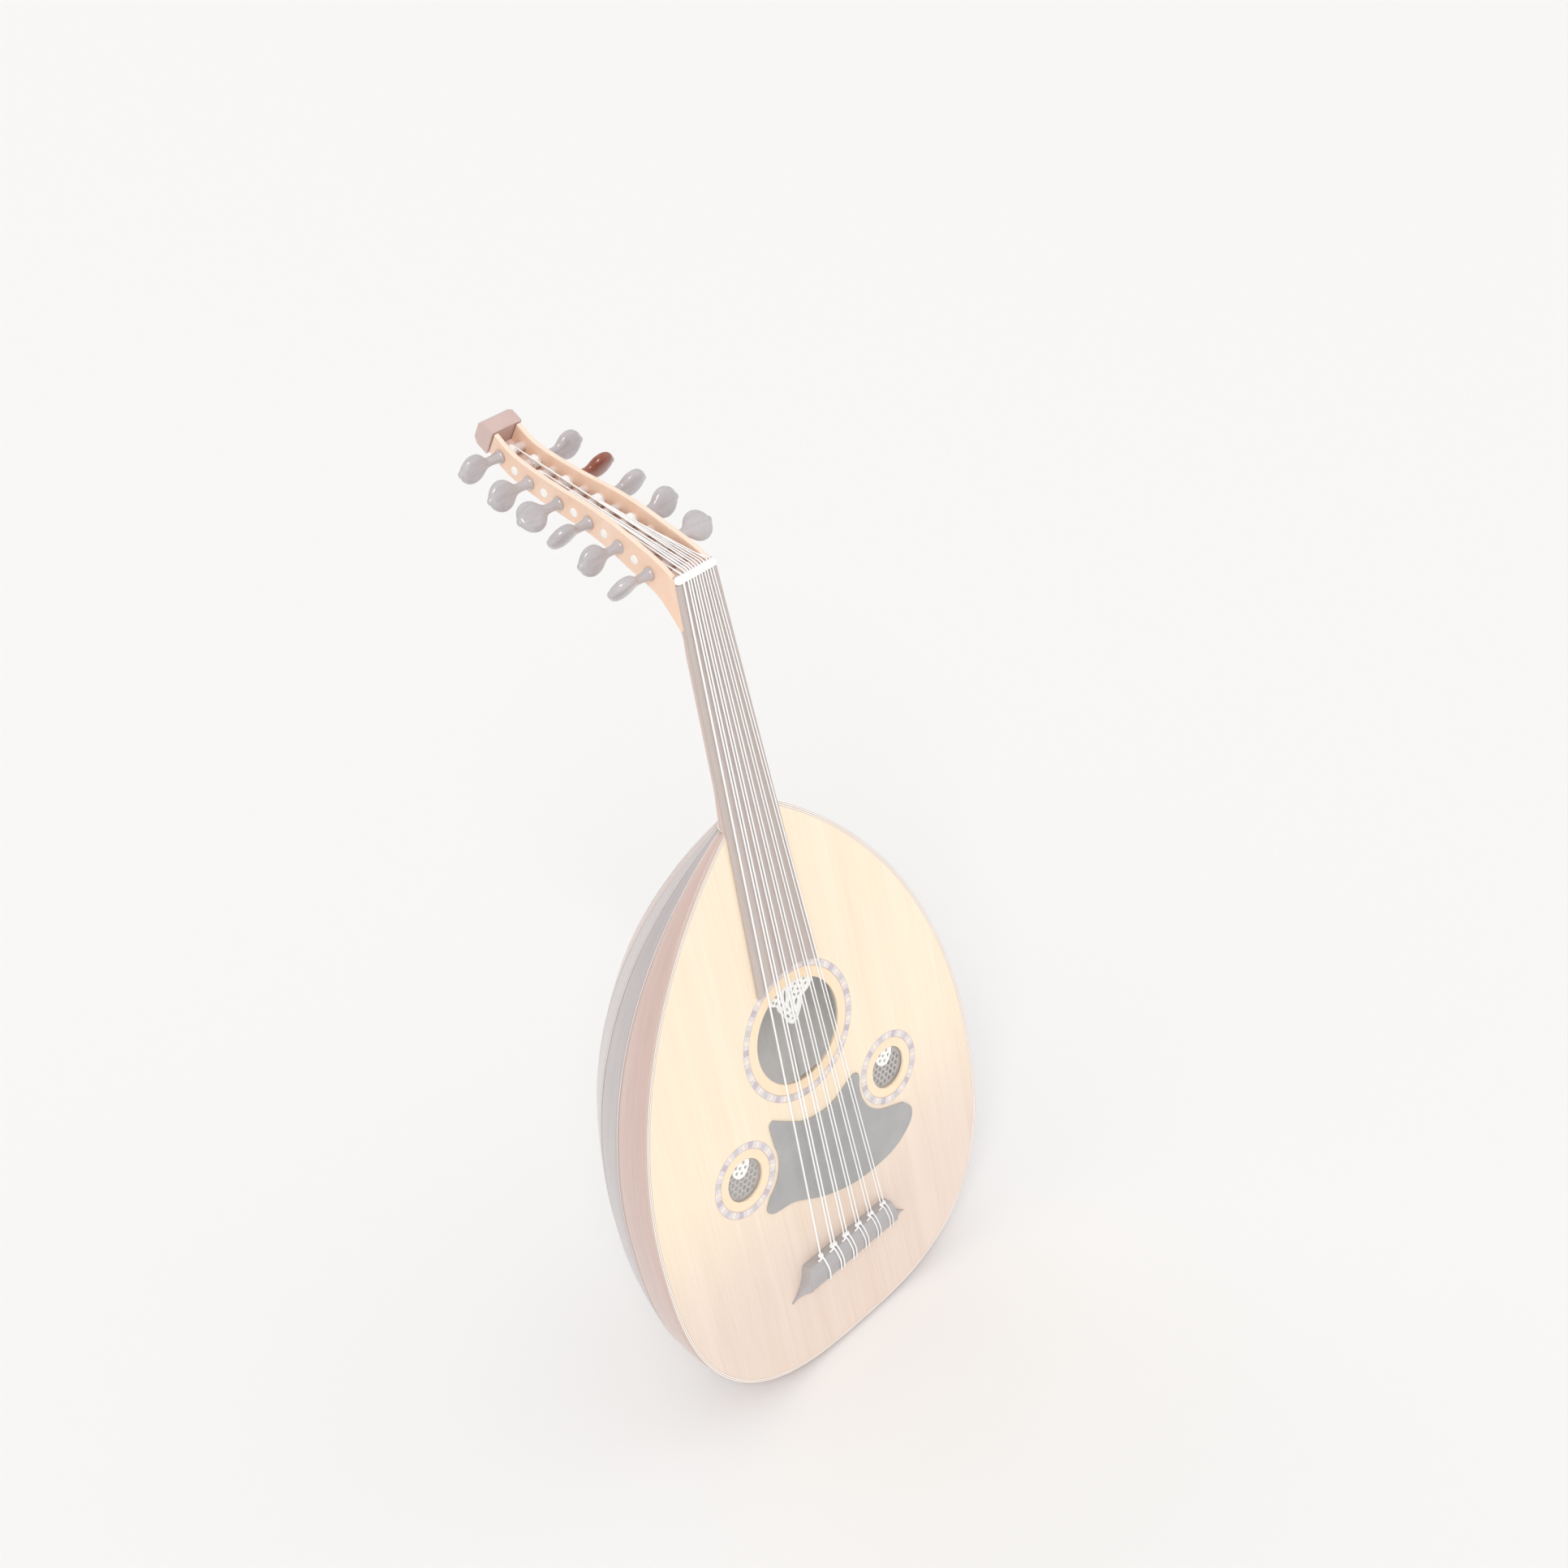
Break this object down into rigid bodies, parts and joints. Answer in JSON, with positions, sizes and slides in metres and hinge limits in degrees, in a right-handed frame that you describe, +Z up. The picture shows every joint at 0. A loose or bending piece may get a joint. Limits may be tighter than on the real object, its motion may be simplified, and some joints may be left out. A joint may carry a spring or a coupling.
{
  "type": "oud",
  "caption": "Short-necked fretless lute: staved pear-shaped bowl, flat face with pierced soundholes, bent-back pegbox with friction pegs, and strings tied at the bridge.",
  "frame": {"origin": "on the back of the neck, 57.5 mm below the nut, where a stand's cradle holds it", "axes": "+Z up along the neck towards the nut, -Y out of the soundboard towards the player, +X to the right of someone who looks at the strings"},
  "size_m": [0.344, 0.2094, 0.7623],
  "materials": {
    "spruce_face": "satin, straight fine grain along the neck",
    "inner_spruce": "bare, sawn",
    "bone": "polished bone, stated as matte plastic because the list has no bone",
    "binding": "satin, light wood with two white lines",
    "mosaic": "satin, small dark and light blocks end to end",
    "pickguard": "glossy black",
    "ebony": "satin",
    "neck_wood": "satin",
    "pegbox_wood": "satin",
    "head_wood": "satin",
    "rib_light": "gloss varnish",
    "rib_dark": "gloss varnish",
    "peg_wood": "polished",
    "string": "twisted nylon, white"
  },
  "bodies": {
    "body": {"soundboard": "spruce_face", "neck_block": "inner_spruce", "tail_block": "inner_spruce", "brace_1": "inner_spruce", "brace_2": "inner_spruce", "brace_3": "inner_spruce", "brace_4": "inner_spruce", "brace_5": "inner_spruce", "nut": "bone", "rosette_main": "bone", "rosette_left": "bone", "rosette_right": "bone", "edge_binding": "binding", "mosaic_ring_main": "mosaic", "mosaic_ring_left": "mosaic", "mosaic_ring_right": "mosaic", "pickguard": "pickguard", "bridge": "ebony", "fingerboard": "ebony", "neck": "neck_wood", "pegbox_cheek_left": "pegbox_wood", "pegbox_cheek_right": "pegbox_wood", "pegbox_back": "pegbox_wood", "head_block": "head_wood", "tail_clasp": "rib_light", "bowl_rib_01": "rib_light", "bowl_rib_03": "rib_light", "bowl_rib_05": "rib_light", "bowl_rib_07": "rib_light", "bowl_rib_09": "rib_light", "bowl_rib_11": "rib_light", "bowl_rib_13": "rib_light", "bowl_rib_02": "rib_dark", "bowl_rib_04": "rib_dark", "bowl_rib_06": "rib_dark", "bowl_rib_08": "rib_dark", "bowl_rib_10": "rib_dark", "bowl_rib_12": "rib_dark", "string_01": "string", "string_02": "string", "string_03": "string", "string_04": "string", "string_05": "string", "string_06": "string", "string_07": "string", "string_08": "string", "string_09": "string", "string_10": "string", "string_11": "string"},
    "peg_01": {"peg_01": "peg_wood"},
    "peg_02": {"peg_02": "peg_wood"},
    "peg_03": {"peg_03": "peg_wood"},
    "peg_04": {"peg_04": "peg_wood"},
    "peg_05": {"peg_05": "peg_wood"},
    "peg_06": {"peg_06": "peg_wood"},
    "peg_07": {"peg_07": "peg_wood"},
    "peg_08": {"peg_08": "peg_wood"},
    "peg_09": {"peg_09": "peg_wood"},
    "peg_10": {"peg_10": "peg_wood"},
    "peg_11": {"peg_11": "peg_wood"}
  },
  "joints": [
    {"name": "peg_01_turn", "type": "hinge", "parent": "body", "child": "peg_01", "pos_m": [0, 0.00493, 0.06225], "axis": [1, 0, 0], "range_deg": [-270, 90]},
    {"name": "peg_02_turn", "type": "hinge", "parent": "body", "child": "peg_02", "pos_m": [0, 0.01904, 0.06967], "axis": [1, 0, 0], "range_deg": [-270, 90]},
    {"name": "peg_03_turn", "type": "hinge", "parent": "body", "child": "peg_03", "pos_m": [0, 0.03327, 0.07695], "axis": [1, 0, 0], "range_deg": [-270, 90]},
    {"name": "peg_04_turn", "type": "hinge", "parent": "body", "child": "peg_04", "pos_m": [0, 0.04773, 0.08364], "axis": [1, 0, 0], "range_deg": [-270, 90]},
    {"name": "peg_05_turn", "type": "hinge", "parent": "body", "child": "peg_05", "pos_m": [0, 0.06255, 0.08944], "axis": [1, 0, 0], "range_deg": [-270, 90]},
    {"name": "peg_06_turn", "type": "hinge", "parent": "body", "child": "peg_06", "pos_m": [0, 0.07774, 0.0943], "axis": [1, 0, 0], "range_deg": [-270, 90]},
    {"name": "peg_07_turn", "type": "hinge", "parent": "body", "child": "peg_07", "pos_m": [0, 0.09306, 0.09893], "axis": [1, 0, 0], "range_deg": [-270, 90]},
    {"name": "peg_08_turn", "type": "hinge", "parent": "body", "child": "peg_08", "pos_m": [0, 0.1083, 0.104], "axis": [1, 0, 0], "range_deg": [-270, 90]},
    {"name": "peg_09_turn", "type": "hinge", "parent": "body", "child": "peg_09", "pos_m": [0, 0.12331, 0.10962], "axis": [1, 0, 0], "range_deg": [-270, 90]},
    {"name": "peg_10_turn", "type": "hinge", "parent": "body", "child": "peg_10", "pos_m": [0, 0.13806, 0.11608], "axis": [1, 0, 0], "range_deg": [-270, 90]},
    {"name": "peg_11_turn", "type": "hinge", "parent": "body", "child": "peg_11", "pos_m": [0, 0.15151, 0.12523], "axis": [1, 0, 0], "range_deg": [-270, 90]}
  ]
}
